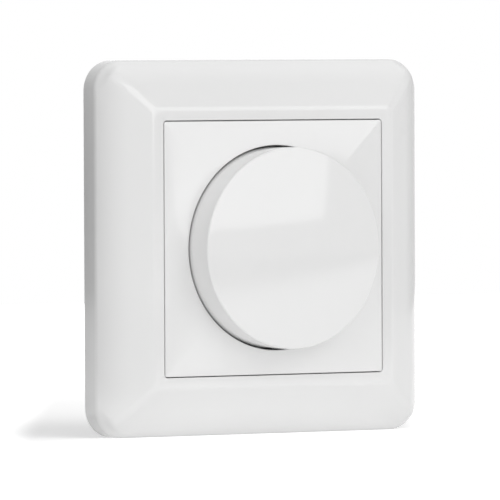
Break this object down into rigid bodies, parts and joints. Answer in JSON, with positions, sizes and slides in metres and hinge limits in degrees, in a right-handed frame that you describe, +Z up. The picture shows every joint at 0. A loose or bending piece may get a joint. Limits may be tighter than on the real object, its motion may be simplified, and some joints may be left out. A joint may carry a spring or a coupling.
{
  "type": "rotary dimmer switch",
  "caption": "Square flush-mounted rotary dimmer switch: sloped cover frame, centre plate and large push-and-turn knob on a wall-box insert.",
  "frame": {"origin": "on the knob's axis, in the wall plane that the frame and the support plate stand on, midway between the slots for the wall box's screws", "axes": "+Y runs into the wall, so the front faces -Y; +Z is up and +X is to the right as seen from the front"},
  "size_m": [0.081, 0.0455, 0.081],
  "materials": {
    "polar_white": "high gloss moulded white",
    "housing_grey": "fine eroded dark grey moulding",
    "zinc_steel": "zinc plated, satin",
    "spring_steel": "blank spring steel",
    "bright_brass": "bright stamped brass",
    "spring_bronze": "rolled phosphor bronze",
    "acetal_white": "moulded acetal",
    "case_brown": "phenolic",
    "switch_black": "moulded black",
    "board_green": "solder resist on glass fibre",
    "package_black": "moulded epoxy",
    "pad_grey": "heat conducting silicone sheet",
    "ferrite": "sintered ferrite",
    "copper_wire": "enamelled copper",
    "film_yellow": "moulded yellow case",
    "varistor_blue": "dipped blue coating",
    "can_aluminium": "drawn can"
  },
  "bodies": {
    "base": {"frame": "polar_white", "centre_plate": "polar_white", "housing": "housing_grey", "terminal_block": "housing_grey", "support_plate": "zinc_steel", "pot_washer": "zinc_steel", "pot_nut": "zinc_steel", "plate_nut": "zinc_steel", "transistor_strap": "zinc_steel", "pot_bushing": "zinc_steel", "terminal_screws": "zinc_steel", "fixed_contacts": "bright_brass", "pot_pins": "bright_brass", "terminal_clamps": "bright_brass", "contact_blade": "spring_bronze", "pot_case": "case_brown", "track_wafer": "case_brown", "switch_case": "switch_black", "fuse": "switch_black", "circuit_board": "board_green", "transistor_left": "package_black", "transistor_right": "package_black", "controller_chip": "package_black", "insulating_pad": "pad_grey", "choke_core": "ferrite", "choke_winding": "copper_wire", "film_capacitor": "film_yellow", "varistor": "varistor_blue", "bulk_capacitor": "can_aluminium"},
    "pusher": {"switch_plunger": "acetal_white"},
    "dial": {"knob": "polar_white", "knob_clip": "spring_steel", "shaft": "acetal_white", "shaft_ring": "spring_steel"},
    "rotor": {"wiper_rotor": "acetal_white", "wiper_contact": "spring_bronze"}
  },
  "joints": [
    {"name": "knob_push", "type": "slide", "parent": "base", "child": "pusher", "axis": [0, 1, 0], "range_m": [0, 0.0015], "stiffness_N_per_m": 1500, "springref_m": -0.002, "deforming": ["contact_blade"]},
    {"name": "knob_turn", "type": "hinge", "parent": "pusher", "child": "dial", "pos_m": [0, 0, 0], "axis": [0, 1, 0], "range_deg": [-150, 150]},
    {"name": "rotor_turn", "type": "hinge", "parent": "base", "child": "rotor", "pos_m": [0, 0, 0], "axis": [0, 1, 0], "range_deg": [-150, 150]}
  ],
  "couplings": [
    {"joint": "rotor_turn", "follows": "knob_turn", "ratio": 1}
  ]
}
